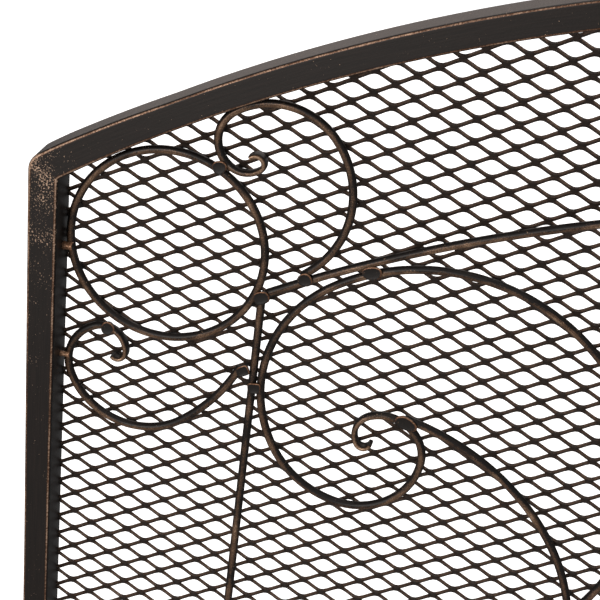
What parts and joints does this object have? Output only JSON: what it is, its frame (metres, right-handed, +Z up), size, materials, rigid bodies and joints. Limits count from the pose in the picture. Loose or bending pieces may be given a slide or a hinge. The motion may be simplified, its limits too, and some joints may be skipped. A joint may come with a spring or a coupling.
{
  "type": "fireplace screen",
  "caption": "Free-standing arched fireplace screen: tube frame, expanded-metal sheet, round-rod scrollwork in front of it, and two bolted feet with rubber pads.",
  "frame": {"origin": "on the floor, under the middle of the screen", "axes": "+X along the screen towards its right end as seen from the front, -Y towards the room (the scrollwork side), +Z up"},
  "size_m": [0.9182, 0.2358, 0.7869],
  "materials": {
    "frame_tube": "dark bronze powder coat, hand-rubbed copper along the edges",
    "expanded_mesh": "dark bronze coat, copper-brown on the lower edges of the strands",
    "scroll_rod": "dark bronze coat rubbed to copper on the crest of the rod",
    "weld_metal": "dark bronze coat with a thin copper rim",
    "foot_bar": "dark bronze powder coat, copper along the edges",
    "fasteners": "blackened steel",
    "rubber": "matte black"
  },
  "bodies": {
    "root": {"left_post": "frame_tube", "right_post": "frame_tube", "arched_rail": "frame_tube", "bottom_rail": "frame_tube", "mesh_panel": "expanded_mesh", "left_ring": "scroll_rod", "right_ring": "scroll_rod", "inner_arch_rod": "scroll_rod", "left_side_rod": "scroll_rod", "right_side_rod": "scroll_rod", "left_upper_scroll": "scroll_rod", "right_upper_scroll": "scroll_rod", "left_lower_scroll": "scroll_rod", "right_lower_scroll": "scroll_rod", "left_big_scroll": "scroll_rod", "right_big_scroll": "scroll_rod", "left_stem": "scroll_rod", "right_stem": "scroll_rod", "left_base_scroll": "scroll_rod", "right_base_scroll": "scroll_rod", "left_heart_scroll": "scroll_rod", "right_heart_scroll": "scroll_rod", "center_rod": "scroll_rod", "weld_pads": "weld_metal", "weld_studs": "weld_metal", "left_foot": "foot_bar", "right_foot": "foot_bar", "post_plugs": "fasteners", "foot_bolts": "fasteners", "foot_washers": "fasteners", "rubber_pads": "rubber"}
  },
  "joints": []
}
